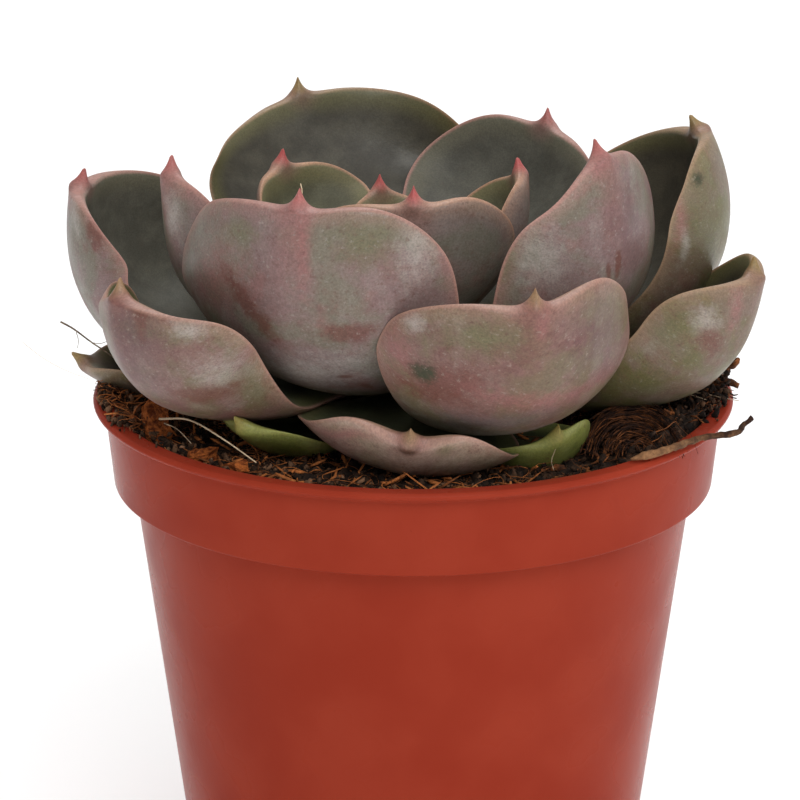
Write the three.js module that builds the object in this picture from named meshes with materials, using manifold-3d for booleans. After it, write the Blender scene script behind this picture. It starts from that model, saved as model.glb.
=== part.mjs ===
// A young echeveria rosette in a small plastic nursery pot, about 60 mm across and 75 mm tall.
// Millimetres, +Z up. The origin is the centre of the pot's underside, and the photographed side faces -Y.
import * as THREE from "three";
import { mergeVertices } from "three/addons/utils/BufferGeometryUtils.js";
import Module from "manifold-3d";

const wasm = await Module();
wasm.setup();

// ---------------------------------------------------------------- driving dimensions
const GAP = 0.3; // clearance between pieces that touch

const POT = {
  height: 50,
  lipRadius: 27.5,
  lipThickness: 0.7,
  bandTopRadius: 26.5,
  bandFootRadius: 25.8,
  bandHeight: 7.7,
  bodyTopRadius: 24.1,
  baseRadius: 18.5,
  wall: 0.8,
  sides: 48,
  holes: 6,
  holeRadius: 2.1,
  holeCircle: 12.5,
};

const SOIL = {
  level: 48.5,
  rings: 7,
  sides: 40,
  rough: 0.35, // height of the crumbs
  leftRise: 1.2, // the soil climbs to the lip at both sides of the pot
  rightRise: 2.2,
};

// Bark chips on the soil: middle, length, width, thickness, aim of the long side, and dip of one end.
const CHIPS = [
  { x: -21.6, y: -10.0, z: 50.1, length: 7.4, width: 2.3, thick: 1.1, aim: 278, dip: 16 },
  { x: -14.6, y: -19.2, z: 49.4, length: 3.8, width: 1.3, thick: 0.9, aim: 118, dip: 22 },
  { x: -17.4, y: -15.6, z: 49.3, length: 4.2, width: 1.5, thick: 0.9, aim: 60, dip: 10 },
  { x: 12.2, y: 20.6, z: 49.2, length: 5.4, width: 1.7, thick: 0.9, aim: 152, dip: 7 },
  { x: -8.8, y: 21.8, z: 49.3, length: 4.6, width: 1.6, thick: 1.0, aim: 20, dip: 8 },
];

// The dry root that lies across the lip at the right, as points of its middle line, and its thickness.
const DRY_ROOT = {
  thick: 0.75,
  path: [
    [17.8, -19.6, 50.3],
    [19.2, -19.2, 50.6],
    [20.9, -18.2, 50.7],
    [22.6, -16.4, 50.7],
    [24.1, -14.8, 50.65],
    [26.8, -13.9, 50.7],
    [27.5, -12.3, 50.8],
    [28.3, -11.6, 51.3],
  ],
};

// Tuft of roots that stands out of the soil over the lip at the right.
const TUFT = {
  thick: 1.6,
  path: [
    [21.5, 1.6, 46.5],
    [23.6, 1.4, 50.4],
    [25.8, 0.6, 51.6],
    [27.3, -0.5, 52.6],
  ],
};

const STEM = { foot: 43, top: 57.5, footRadius: 4.6, neckRadius: 4.3, topRadius: 2.9, sides: 20 };

const ROSETTE = {
  firstLeaf: 49.6, // height at which the lowest leaf leaves the stem
  internode: 0.25, // rise of the stem from one leaf to the next
  rootReach: 3.1, // distance of the lowest leaf's root from the stem's axis
  rootDraw: 0.05, // how much nearer to the axis each later leaf starts
  rootHalfWidth: 1.6,
  rootThickness: 1.4,
  thickness: 3.0, // of the widest blade, at the middle of its length
};

// Each leaf in the order in which it grew, lowest first. aim: the way it points, in degrees from +X
// towards +Y. tip: the tip's distance from the stem's axis and its height over the pot's lip. slope: the
// slope of the midrib at the root and at the tip. width: across the blade, over the curve.
const LEAVES = [
  { aim: 230, tip: [23, 3.4], slope: [-3, 40], width: 11, cup: 25 },
  { aim: 95, tip: [24, 3], slope: [-6, 70], width: 14, cup: 40 },
  { aim: 303, tip: [22, 2.9], slope: [-5, 60], width: 11, cup: 45, lean: -15, lobes: [0, 0.6] },
  { aim: 177, tip: [29.5, 2.9], slope: [-1, 30], width: 12, cup: 60, square: 2.5 },
  { aim: 38, tip: [27, 5], slope: [0, 70], width: 15, cup: 45 },
  {
    aim: 269.3, tip: [24.5, 4.5], slope: [4, 50], width: 18.9, cup: 24, roll: -10, lean: 4,
    sway: -0.1, shoulder: 0.56, taper: 1.3, square: 3.2, lobes: [1.4, 1.6], flat: 0.57,
    folds: [0.5, 0.75],
  },
  { aim: 128, tip: [24, 14.5], slope: [6, 88], width: 20, cup: 45 },
  {
    aim: 343.1, tip: [29.6, 14.5], slope: [0, 84], width: 20.6, cup: 81, roll: -5, lean: 5,
    square: 3.2, shoulder: 0.72, taper: 1.3, lobes: [-0.3, 0.9], flat: 0.85, folds: [0.55, 1],
  },
  {
    aim: 217.3, tip: [30.1, 15.5], slope: [6, 86], width: 23.2, cup: 67, roll: -2, lean: -2,
    sway: -0.7, square: 3.1, shoulder: 0.75, taper: 1.6, lobes: [-1.6, -0.8], flat: 0.15,
    folds: [0.35, 0.7],
  },
  { aim: 80, tip: [28.5, 13], slope: [3, 95], width: 22 },
  {
    aim: 290.1, tip: [28, 17.1], slope: [-3, 79], width: 25.3, cup: 64, roll: -4, lean: -2,
    square: 2.8, shoulder: 0.72, taper: 2.2, lobes: [0.2, 1.3], flat: 0.34, folds: [0.24, 0.93],
  },
  {
    aim: 163.8, tip: [29.5, 17.5], slope: [-10, 97], width: 28.9, cup: 73, roll: 3, lean: 2,
    sway: 1.1, shoulder: 0.74, taper: 1.2, square: 3.2, lobes: [-0.1, 0.8], flat: 0.81,
    folds: [0.6, 1],
  },
  {
    aim: 19, tip: [25.3, 22.3], slope: [-4, 111], width: 28.6, cup: 73, roll: -2, lean: 8,
    sway: -0.7, shoulder: 0.75, taper: 1.2, square: 3.2, lobes: [0.6, 0], flat: 1,
  },
  {
    aim: 246.3, tip: [22.7, 23.8], slope: [5, 93], width: 27, cup: 52, lean: 2, sway: -0.7,
    square: 3, taper: 1.2, lobes: [-0.2, 0.8], flat: 0.68, folds: [0.6, 1],
  },
  {
    aim: 115.3, tip: [23.9, 22.3], slope: [26, 83], width: 29.1, cup: 63, roll: 3, lean: 7,
    sway: -0.4, square: 2.5, shoulder: 0.67, taper: 1.4, lobes: [-0.3, -0.4], flat: 0.3,
    folds: [0.3, 1],
  },
  {
    aim: 321.2, tip: [19, 25.5], slope: [7, 103], width: 22.9, cup: 33, lean: -3, sway: 0.2,
    square: 2.4, shoulder: 0.58, taper: 1.3, lobes: [-1.6, 0], flat: 0.2, folds: [0.34, 0.8],
  },
  {
    aim: 197.2, tip: [21.1, 22.6], slope: [11, 86], width: 18.6, cup: 44, roll: 8, lean: -3,
    sway: 0.3, square: 2.2, shoulder: 0.54, taper: 1.8, lobes: [-1.2, 0], flat: 0.15,
    folds: [0.5, 1],
  },
  {
    aim: 51.7, tip: [19, 21.2], slope: [32, 83], width: 22.7, cup: 48, roll: -4, lean: -3,
    sway: 0.2, square: 2.5, shoulder: 0.66, taper: 1.3, lobes: [-0.5, 0.4], flat: 1,
  },
  { aim: 270, tip: [9.3, 20.8], slope: [50, 92], width: 19.5, lobes: [0, 0.6] },
  { aim: 143, tip: [14, 19.2], slope: [46, 92], width: 16 },
  {
    aim: 14, tip: [9.1, 20.1], slope: [60, 92], width: 12.5, cup: 70, lean: 10, square: 2.4,
    shoulder: 0.64,
  },
  { aim: 235, tip: [4.3, 13], slope: [78, 95], width: 6.5, square: 2.4 },
  { aim: 112, tip: [7.6, 17.3], slope: [72, 90], width: 8.5, square: 2.4 },
];

// What a leaf has unless its line above says otherwise.
const TYPICAL = {
  drop: 0, // how far its root sits under its place on the stem, in mm
  cup: 50, // how far each half of the blade folds up
  flat: 0.35, // share of that fold that the blade has from its root on
  folds: [0, 0.6], // where along the midrib the rest of the fold begins, and where it is complete
  roll: 0, // turn about the midrib
  lean: 0, // sideways turn of the end
  sway: 0, // sideways bow of the middle, in mm
  shoulder: 0.68, // where along the midrib the blade is widest
  taper: 2, // how late it widens from its root
  square: 2.7, // how square the rounded end is, where 2 is an ellipse
  lobes: [0, 0], // what the end has more on the clockwise and on the other side of the point, in mm
  point: 2, // length of the sharp point, in mm
};

// The youngest leaves, closed round the tip of the stem, given from the outermost to the innermost.
const BUD = {
  leaves: 6,
  firstAim: 10,
  turn: 137.5, // from one leaf to the next
  reach: [6, 1],
  rise: [14.5, 10],
  rootSlope: 74,
  tipSlope: 100,
  width: [7.5, 3.6],
  core: 1.5, // radius of the closed middle
};

// What all the blades share, and how finely their solids are faceted.
const BLADE = {
  notch: 0.5, // how far the end dips beside the point, in mm
  notchWidth: 2.6, // how wide that dip is, in mm
  pointFlare: 0.7, // how wide the foot of the point spreads, in mm
  edge: 0.8, // how sharp its margin is: 0.5 is the end of an ellipse and 1 an edge
  handles: [0.6, 0.4], // how far the straight foot and the straight end reach along the midrib
  lowerRings: 7,
  endWidths: [1, 0.96, 0.86, 0.7, 0.5, 0.32, 0.18, 0.1, 0.05],
  around: 10,
};

// ---------------------------------------------------------------- solids
const radians = THREE.MathUtils.degToRad;

function solidFrom(geometry) {
  const bare = geometry.clone();
  bare.deleteAttribute("normal");
  bare.deleteAttribute("uv");
  const merged = mergeVertices(bare, 1e-4);
  return new wasm.Manifold(
    new wasm.Mesh({
      numProp: 3,
      vertProperties: merged.getAttribute("position").array,
      triVerts: new Uint32Array(merged.index.array),
    }),
  );
}

// The largest body of a solid, without the crumbs that cutting leaves.
function whole(solid, detail) {
  const bodies = solid.simplify(detail).decompose();
  return bodies.sort((one, other) => other.volume() - one.volume())[0];
}

function geometryFrom(solid) {
  const { vertProperties, triVerts, numProp, numVert } = solid.getMesh();
  const points = new Float32Array(numVert * 3);
  for (let i = 0; i < numVert; i++) {
    points.set(vertProperties.subarray(i * numProp, i * numProp + 3), i * 3);
  }
  const geometry = new THREE.BufferGeometry();
  geometry.setAttribute("position", new THREE.BufferAttribute(points, 3));
  geometry.setIndex(new THREE.BufferAttribute(new Uint32Array(triVerts), 1));
  geometry.computeVertexNormals();
  return geometry;
}

function turned(profile, sides) {
  const lathe = new THREE.LatheGeometry(
    profile.map(([r, z]) => new THREE.Vector2(r, z)),
    sides,
  );
  return lathe.rotateX(Math.PI / 2);
}

// Closed skin over rings of points, from one pole to the other.
function skinned(rings, firstPole, lastPole) {
  const around = rings[0].length;
  const points = [firstPole, ...rings.flat(), lastPole];
  const at = (ring, k) => 1 + ring * around + (k % around);
  const faces = [];
  for (let k = 0; k < around; k++) {
    faces.push(0, at(0, k + 1), at(0, k));
    for (let ring = 0; ring + 1 < rings.length; ring++) {
      faces.push(at(ring, k), at(ring, k + 1), at(ring + 1, k + 1));
      faces.push(at(ring, k), at(ring + 1, k + 1), at(ring + 1, k));
    }
    faces.push(points.length - 1, at(rings.length - 1, k), at(rings.length - 1, k + 1));
  }
  const geometry = new THREE.BufferGeometry().setFromPoints(points);
  geometry.setIndex(faces);
  return geometry;
}

// ---------------------------------------------------------------- pot
function potSolid() {
  const { height, wall, baseRadius, bodyTopRadius, bandTopRadius, bandFootRadius } = POT;
  const bandFoot = height - POT.bandHeight;
  const lipUnder = height - POT.lipThickness;
  const profile = [
    [0, 0],
    [baseRadius - 0.6, 0],
    [baseRadius, 0.6],
    [bodyTopRadius, bandFoot],
    [bandFootRadius - 0.3, bandFoot],
    [bandFootRadius, bandFoot + 0.3],
    [bandTopRadius, lipUnder - 0.4],
    [POT.lipRadius, lipUnder],
    [POT.lipRadius, height - 0.25],
    [POT.lipRadius - 0.25, height],
    [bandTopRadius - wall + 0.2, height],
    [bandTopRadius - wall, height - 0.2],
    [bandFootRadius - wall, bandFoot + wall],
    [bodyTopRadius - wall, bandFoot + wall - 0.2],
    [baseRadius - wall, wall],
    [0, wall],
  ];
  let pot = solidFrom(turned(profile, POT.sides));
  for (let k = 0; k < POT.holes; k++) {
    const angle = (2 * Math.PI * (k + 0.5)) / POT.holes;
    const drill = new THREE.CylinderGeometry(POT.holeRadius, POT.holeRadius, 4, 14)
      .rotateX(Math.PI / 2)
      .translate(POT.holeCircle * Math.cos(angle), POT.holeCircle * Math.sin(angle), 0);
    pot = pot.subtract(solidFrom(drill));
  }
  return pot;
}

// ---------------------------------------------------------------- leaves
const { clamp, lerp, smoothstep } = THREE.MathUtils;
const ease = (x) => smoothstep(x, 0, 1);

// Midrib of a leaf as a curve in its own upright plane: x away from the stem, y up.
function midrib(leaf, order) {
  const [start, end] = leaf.slope.map(radians);
  const [reach, rise] = leaf.tip;
  const point = leaf.point - BLADE.notch;
  const root = new THREE.Vector2(
    ROSETTE.rootReach - ROSETTE.rootDraw * order,
    ROSETTE.firstLeaf + ROSETTE.internode * order - leaf.drop,
  );
  const tip = new THREE.Vector2(
    reach - point * Math.cos(end),
    POT.height + rise - point * Math.sin(end),
  );
  const [foot, finish] = BLADE.handles.map((share) => share * root.distanceTo(tip));
  return new THREE.CubicBezierCurve(
    root,
    new THREE.Vector2(root.x + foot * Math.cos(start), root.y + foot * Math.sin(start)),
    new THREE.Vector2(tip.x - finish * Math.cos(end), tip.y - finish * Math.sin(end)),
    tip,
  );
}

// The stations of the rings: share of the length, and half-width there.
function stations(leaf, length) {
  const half = leaf.width / 2;
  const list = [];
  for (let k = 0; k < BLADE.lowerRings; k++) {
    const x = k / BLADE.lowerRings;
    const swell = Math.sin((Math.PI / 2) * x ** leaf.taper);
    list.push([leaf.shoulder * x, ROSETTE.rootHalfWidth + (half - ROSETTE.rootHalfWidth) * swell]);
  }
  for (const share of BLADE.endWidths) {
    const s = leaf.shoulder + (1 - leaf.shoulder) * (1 - share ** leaf.square) ** (1 / leaf.square);
    const w = half * share;
    list.push([s + (leaf.point / length) * Math.exp(-w / BLADE.pointFlare), w]);
  }
  return list;
}

// A leaf's solid. grow makes every half-width and half-thickness that much larger.
function leafGeometry(leaf, order, grow = 0) {
  const curve = midrib(leaf, order);
  const length = curve.getLength();
  const thickness = ROSETTE.thickness * Math.min(1, 0.45 + leaf.width / 40);
  const half = leaf.width / 2;
  const fold = radians(leaf.cup) / half;
  const place = (station, across, lift) => {
    const fade = ease((station - leaf.shoulder) / (1 - leaf.shoulder));
    const dip = (BLADE.notch / length) * fade * Math.exp(-((across / BLADE.notchWidth) ** 2));
    const skew = Math.tan(radians(leaf.lean)) / 2;
    const bump = Math.sin(Math.PI * Math.min(1, Math.abs(across) / half)) ** 2;
    const lobe = fade * bump * leaf.lobes[across > 0 ? 1 : 0];
    const s = station - dip + (lobe - skew * (3 * station ** 2 - 1) * across) / length;
    const u = clamp(s, 0, 1);
    const on = curve.getPointAt(u);
    const along = curve.getTangentAt(u);
    const beyond = (s - u) * length;
    const bend = fold * (leaf.flat + (1 - leaf.flat) * smoothstep(s, ...leaf.folds));
    const tilt = bend * across;
    const side = Math.sin(tilt) / bend - lift * Math.sin(tilt);
    const up = (1 - Math.cos(tilt)) / bend + lift * Math.cos(tilt);
    const t = Math.min(station, 1);
    const bow = skew * length * (t ** 3 - t) + 4 * leaf.sway * t * (1 - t);
    const turn = radians(leaf.roll) * ease(s / 0.7);
    const sideways = side * Math.cos(turn) - up * Math.sin(turn) + bow;
    const inward = side * Math.sin(turn) + up * Math.cos(turn);
    const out = on.x + along.x * beyond - along.y * inward;
    const z = on.y + along.y * beyond + along.x * inward;
    const h = radians(leaf.aim);
    return new THREE.Vector3(
      out * Math.cos(h) - sideways * Math.sin(h),
      out * Math.sin(h) + sideways * Math.cos(h),
      z,
    );
  };
  const rings = stations(leaf, length).map(([s, w]) => {
    const full = thickness * (1 - 0.45 * ease((s - 0.5) / 0.5));
    const body = lerp(ROSETTE.rootThickness, full, ease(s / 0.45)) / 2;
    const deep = Math.min(body, 0.7 * w + 0.1) + grow;
    return Array.from({ length: BLADE.around }, (_, k) => {
      const angle = (2 * Math.PI * k) / BLADE.around;
      const v = Math.cos(angle);
      const bulge = (1 - v * v) ** BLADE.edge * Math.sign(Math.round(1e6 * Math.sin(angle)));
      const lift = deep * bulge * (bulge > 0 ? 0.8 : 1.2);
      return place(s, v * (w + grow), lift);
    });
  });
  const tip = 1 + (leaf.point + grow) / length;
  return skinned(rings, place(-grow / length, 0, 0), place(tip, 0, 0));
}

// The leaves of the bud, whose order carries on from the open ones.
function budLeaves() {
  return Array.from({ length: BUD.leaves }, (_, k) => {
    const share = k / (BUD.leaves - 1);
    return {
      ...TYPICAL,
      aim: BUD.firstAim + BUD.turn * k,
      tip: [lerp(...BUD.reach, share), lerp(...BUD.rise, share)],
      slope: [BUD.rootSlope, BUD.tipSlope],
      width: lerp(...BUD.width, share),
    };
  });
}

function budSolid(grow = 0) {
  const core = new THREE.SphereGeometry(BUD.core + grow, 8, 5)
    .rotateX(Math.PI / 2)
    .translate(0, 0, STEM.top + BUD.core);
  const blades = budLeaves().map((leaf, k) => solidFrom(leafGeometry(leaf, LEAVES.length + k, grow)));
  return blades.reduce((bud, blade) => bud.add(blade), solidFrom(core));
}

// ---------------------------------------------------------------- stem
function stemSolid(grow = 0) {
  const shape = [
    [0, STEM.foot - grow],
    [STEM.footRadius * 0.7 + grow, STEM.foot - grow],
    [STEM.footRadius + grow, STEM.foot + 2],
    [STEM.neckRadius + grow, 50],
    [STEM.topRadius + grow, STEM.top - 1],
    [0, STEM.top + grow],
  ];
  return solidFrom(turned(shape, STEM.sides));
}

// ---------------------------------------------------------------- soil and what lies on it
// Radius of the soil at a height: the pot's inside less the gap.
function soilRadius(z) {
  const ledge = POT.height - POT.bandHeight + POT.wall;
  if (z < ledge + GAP) {
    const climb = (z - POT.wall) / (ledge - POT.wall);
    return POT.baseRadius + (POT.bodyTopRadius - POT.baseRadius) * Math.min(climb, 1) - POT.wall - GAP;
  }
  const climb = (z - ledge) / (POT.height - ledge);
  return POT.bandFootRadius + (POT.bandTopRadius - POT.bandFootRadius) * climb - POT.wall - GAP;
}

function soilHeight(x, y) {
  const side = Math.hypot(x, y) / 25;
  const rise = (x < 0 ? SOIL.leftRise : SOIL.rightRise) * ease((Math.abs(x) - 14) / 9) * side;
  const crumbs = Math.sin(1.9 * x + 0.7 * y) * Math.cos(1.3 * y - 0.8 * x) + 0.6 * Math.sin(2.7 * y + x);
  return SOIL.level + rise + SOIL.rough * crumbs * Math.min(1, 2 * side);
}

function soilSolid() {
  const ledge = POT.height - POT.bandHeight + POT.wall;
  const circle = (radius, height) =>
    Array.from({ length: SOIL.sides }, (_, k) => {
      const angle = (2 * Math.PI * k) / SOIL.sides;
      const [x, y] = [radius * Math.cos(angle), radius * Math.sin(angle)];
      return new THREE.Vector3(x, y, height === undefined ? soilHeight(x, y) : height);
    });
  const floor = POT.wall + GAP;
  const rings = [
    circle(soilRadius(floor), floor),
    circle(soilRadius(ledge), ledge + GAP),
    circle(soilRadius(ledge + GAP), ledge + GAP),
    circle(soilRadius(SOIL.level - 1.2), SOIL.level - 1.2),
  ];
  for (let ring = SOIL.rings; ring > 0; ring--) {
    rings.push(circle((soilRadius(SOIL.level) * (ring - 0.15)) / SOIL.rings));
  }
  const low = new THREE.Vector3(0, 0, floor);
  const high = new THREE.Vector3(0, 0, soilHeight(0, 0));
  return solidFrom(skinned(rings, low, high));
}

// A flake of bark, pointed at both ends.
function chipGeometry(chip, grow = 0) {
  const [l, w, t] = [chip.length / 2 + grow, chip.width / 2 + grow, chip.thick / 2 + grow];
  const outline = new THREE.Shape([
    new THREE.Vector2(-l, -0.3 * w),
    new THREE.Vector2(-0.45 * l, -w),
    new THREE.Vector2(0.6 * l, -0.8 * w),
    new THREE.Vector2(l, 0.15 * w),
    new THREE.Vector2(0.5 * l, w),
    new THREE.Vector2(-0.7 * l, 0.9 * w),
  ]);
  return new THREE.ExtrudeGeometry(outline, { depth: 2 * t, bevelEnabled: false })
    .translate(0, 0, -t)
    .rotateY(radians(chip.dip))
    .rotateZ(radians(chip.aim))
    .translate(chip.x, chip.y, chip.z);
}

function strandGeometry(strand, grow = 0) {
  const radius = strand.thick / 2 + grow;
  const outline = new THREE.Shape(
    Array.from({ length: 7 }, (_, k) => {
      const angle = (2 * Math.PI * k) / 7;
      return new THREE.Vector2(radius * Math.cos(angle), radius * Math.sin(angle));
    }),
  );
  const path = new THREE.CatmullRomCurve3(strand.path.map((point) => new THREE.Vector3(...point)));
  return new THREE.ExtrudeGeometry(outline, { steps: 16, extrudePath: path });
}

// ---------------------------------------------------------------- assembly
const COLOURS = {
  pot: "#9c3a26",
  soil: "#2a1a12",
  bark: "#8a4a22",
  root: "#6b4a34",
  stem: "#6d6a45",
  leaf: "#8c7a78",
  greenLeaf: "#6f7f4a",
};
const GREEN_LEAVES = 5; // the lowest leaves, which stay green in the shade

const plant = new THREE.Group();

function material(colour, roughness) {
  return new THREE.MeshStandardMaterial({ color: colour, roughness, metalness: 0 });
}

function piece(name, solid, look) {
  const mesh = new THREE.Mesh(geometryFrom(solid), look);
  mesh.name = name;
  plant.add(mesh);
}

// What is left of a solid once room is made for its neighbours.
function without(solid, rooms, detail) {
  const rest = rooms.reduce((left, room) => left.subtract(room), solid);
  return whole(rest, detail);
}

const open = LEAVES.map((leaf) => ({ ...TYPICAL, ...leaf }));
const leaves = open.map((leaf, order) => solidFrom(leafGeometry(leaf, order)));
const roomForLeaves = open.map((leaf, order) => solidFrom(leafGeometry(leaf, order, GAP)));
const roomForBud = budSolid(GAP);
const roomForStem = stemSolid(GAP);
const chips = CHIPS.map((chip) => solidFrom(chipGeometry(chip)));
const roomForChips = CHIPS.map((chip) => solidFrom(chipGeometry(chip, GAP)));
const dryRoot = solidFrom(strandGeometry(DRY_ROOT));
const roomForRoot = solidFrom(strandGeometry(DRY_ROOT, GAP));

// An older leaf gives way where a younger one presses on it.
const pressed = leaves.map((leaf, order) => {
  const younger = [...roomForLeaves.slice(order + 1), roomForBud];
  return without(leaf, younger, 0.06);
});
const stem = without(stemSolid(), roomForLeaves, 0.15);
const bud = without(budSolid(), [roomForStem], 0.12);
const soilAndTuft = soilSolid().add(solidFrom(strandGeometry(TUFT)));
const soil = without(soilAndTuft, [roomForStem, ...roomForLeaves, ...roomForChips, roomForRoot], 0.16);

piece("pot", potSolid(), material(COLOURS.pot, 0.45));
piece("soil", soil, material(COLOURS.soil, 0.95));
piece("stem", stem, material(COLOURS.stem, 0.8));
const leafLook = material(COLOURS.leaf, 0.55);
const greenLook = material(COLOURS.greenLeaf, 0.55);
pressed.forEach((solid, order) => {
  const number = String(order + 1).padStart(2, "0");
  piece(`leaf_${number}`, solid, order < GREEN_LEAVES ? greenLook : leafLook);
});
piece("central_bud", bud, greenLook);
const barkLook = material(COLOURS.bark, 0.9);
chips.forEach((solid, index) => piece(`bark_chip_${index + 1}`, solid, barkLook));
piece("dry_root", dryRoot, material(COLOURS.root, 0.9));

export default plant;
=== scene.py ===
import math
import random

import bpy
import numpy as np
from mathutils import Euler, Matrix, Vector, noise


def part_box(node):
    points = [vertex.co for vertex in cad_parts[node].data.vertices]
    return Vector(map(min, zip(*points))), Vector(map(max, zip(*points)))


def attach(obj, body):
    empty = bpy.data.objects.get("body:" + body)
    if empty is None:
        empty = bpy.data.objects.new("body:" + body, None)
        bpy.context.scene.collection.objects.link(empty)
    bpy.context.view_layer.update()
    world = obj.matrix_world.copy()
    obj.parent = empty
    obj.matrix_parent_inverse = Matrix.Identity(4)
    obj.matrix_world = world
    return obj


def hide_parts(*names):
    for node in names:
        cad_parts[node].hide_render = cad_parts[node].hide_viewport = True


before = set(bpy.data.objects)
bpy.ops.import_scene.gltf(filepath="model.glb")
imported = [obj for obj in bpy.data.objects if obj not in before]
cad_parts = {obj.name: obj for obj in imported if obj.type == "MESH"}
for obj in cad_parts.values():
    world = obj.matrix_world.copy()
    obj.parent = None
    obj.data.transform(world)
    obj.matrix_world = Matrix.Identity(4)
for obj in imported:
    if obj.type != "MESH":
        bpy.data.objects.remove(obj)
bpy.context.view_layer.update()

# -------- pot
# A thin-walled nursery pot of injection-moulded terracotta-red plastic, satin outside, with a flat rolled
# lip over a deep band. One ring of points is drawn up the outside, over the lip and down the inside, and
# the drain holes are cut through the floor. Sizes here and below are in millimetres, and angles in degrees.
MM = 0.001
POT_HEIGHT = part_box("pot")[1].z / MM
LIP_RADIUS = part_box("pot")[1].x / MM
LIP_THICKNESS = 0.7
LIP_FOOT = POT_HEIGHT - LIP_THICKNESS
LIP_EDGE = 0.25
LIP_FILLET_REACH = 0.3
LIP_FILLET_DROP = 0.35
BAND_HEIGHT = 7.7
BAND_FOOT = POT_HEIGHT - BAND_HEIGHT
BAND_TOP_RADIUS = 26.5
BAND_FOOT_RADIUS = 25.8
BAND_EDGE = 0.15
BODY_TOP_RADIUS = 24.1
BASE_RADIUS = 18.5
BASE_EDGE = 0.5
WALL = 0.8
MOUTH_EDGE = 0.3
LEDGE_DROP = 0.2
POT_SIDES = 180
DRAIN_HOLES = 6
DRAIN_RADIUS = 2.1
DRAIN_CIRCLE = 12.5
DRILL_LENGTH = 4
DRILL_SIDES = 40
POT_BEVEL = 0.12
BEVEL_OVER = 25
SHARP_OVER = 30
TERRACOTTA = (150, 55, 37)
DARKER_TERRACOTTA = (143, 49, 32)
DARK_FLECK = (104, 26, 14)


def colour(red, green, blue):
    """A colour as it is seen on a screen, from 0 to 255, turned into the light that it gives."""
    light = []
    for share in (red / 255, green / 255, blue / 255):
        light.append(share / 12.92 if share < 0.04045 else ((share + 0.055) / 1.055) ** 2.4)
    return (*light, 1.0)


class Finish:
    """A material. Each call adds one step to its pattern and gives back what that step makes."""

    def __init__(self, name, **sockets):
        self.material = bpy.data.materials.new(name)
        self.material.use_nodes = True
        self.tree = self.material.node_tree
        self.shader = self.tree.nodes["Principled BSDF"]
        for socket, value in sockets.items():
            self.shader.inputs[socket.replace("_", " ")].default_value = value

    def add(self, kind, inputs, output=0, **settings):
        """One step. Into each of its sockets goes a value, or what another step makes."""
        step = self.tree.nodes.new("ShaderNode" + kind)
        for setting, value in settings.items():
            setattr(step, setting, value)
        for socket, value in inputs.items():
            if isinstance(value, bpy.types.NodeSocket):
                self.tree.links.new(value, step.inputs[socket])
            else:
                step.inputs[socket].default_value = value
        return step.outputs[output]

    def place(self):
        """Where a point is on the object, in millimetres."""
        metres = self.add("TexCoord", {}, "Object")
        return self.add("Mapping", {"Vector": metres, "Scale": (1 / MM, 1 / MM, 1 / MM)})

    def attribute(self, name, output="Vector"):
        """What the piece's mesh holds under this name."""
        return self.add("Attribute", {}, output, attribute_name=name)

    def scaled(self, vector, scale, shift=(0, 0, 0)):
        return self.add("Mapping", {"Vector": vector, "Scale": scale, "Location": shift})

    def noise(self, vector, scale, detail=2.0, rough=0.5, warp=0.0):
        inputs = {"Vector": vector, "Scale": scale, "Detail": detail, "Roughness": rough, "Distortion": warp}
        return self.add("TexNoise", inputs)

    def maths(self, operation, first, second=0.0):
        return self.add("Math", {0: first, 1: second}, operation=operation)

    def rise(self, value, low, high, top=1.0):
        """0 below low and top above high, with a smooth step between."""
        inputs = {"Value": value, "From Min": low, "From Max": high, "To Max": top}
        return self.add("MapRange", inputs, interpolation_type="SMOOTHSTEP")

    def fall(self, value, low, high, top=1.0):
        """top below low and 0 above high."""
        return self.maths("SUBTRACT", top, self.rise(value, low, high, top))

    def mix(self, share, first, second, how="MIX"):
        return self.add("Mix", {0: share, 6: first, 7: second}, 2, data_type="RGBA", blend_type=how)

    def join(self, socket, value):
        self.tree.links.new(value, self.shader.inputs[socket])

    def bump(self, height, depth, strength=1.0):
        """Relief as deep as depth, in millimetres."""
        inputs = {"Height": height, "Distance": depth * MM, "Strength": strength}
        self.join("Normal", self.add("Bump", inputs))


def drawn_up(name, sides, rings):
    """A piece extruded from a filled circle through these radii and heights. It is left in edit mode."""
    radius, height = rings[0]
    bpy.ops.object.select_all(action="DESELECT")
    bpy.ops.mesh.primitive_circle_add(
        vertices=sides, radius=radius * MM, fill_type="NGON", location=(0, 0, height * MM)
    )
    piece = bpy.context.object
    piece.name = piece.data.name = name
    bpy.ops.object.mode_set(mode="EDIT")
    bpy.ops.mesh.select_all(action="SELECT")
    for (radius, height), (next_radius, next_height) in zip(rings, rings[1:]):
        rise = (0, 0, (next_height - height) * MM)
        bpy.ops.mesh.extrude_region_move(TRANSFORM_OT_translate={"value": rise})
        size = next_radius / radius
        bpy.ops.transform.resize(value=(size, size, 1))
    return piece


def only(piece):
    """Selects this piece and nothing else."""
    bpy.ops.object.select_all(action="DESELECT")
    piece.select_set(True)
    bpy.context.view_layer.objects.active = piece


def modify(piece, kind, **settings):
    """Adds a modifier and applies it."""
    only(piece)
    modifier = piece.modifiers.new(kind.lower(), kind)
    for setting, value in settings.items():
        setattr(modifier, setting, value)
    bpy.ops.object.modifier_apply(modifier=modifier.name)


def soften(piece, width):
    """Rounds a piece's sharp edges."""
    angle = math.radians(BEVEL_OVER)
    modify(piece, "BEVEL", width=width * MM, segments=3, limit_method="ANGLE", angle_limit=angle)


def settle(piece, material, *nodes, slot):
    """Gives a finished piece its material, and puts it on the model in place of these nodes."""
    piece.data.materials.clear()
    piece.data.materials.append(material)
    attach(piece, "root")
    if nodes:
        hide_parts(*nodes)


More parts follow.
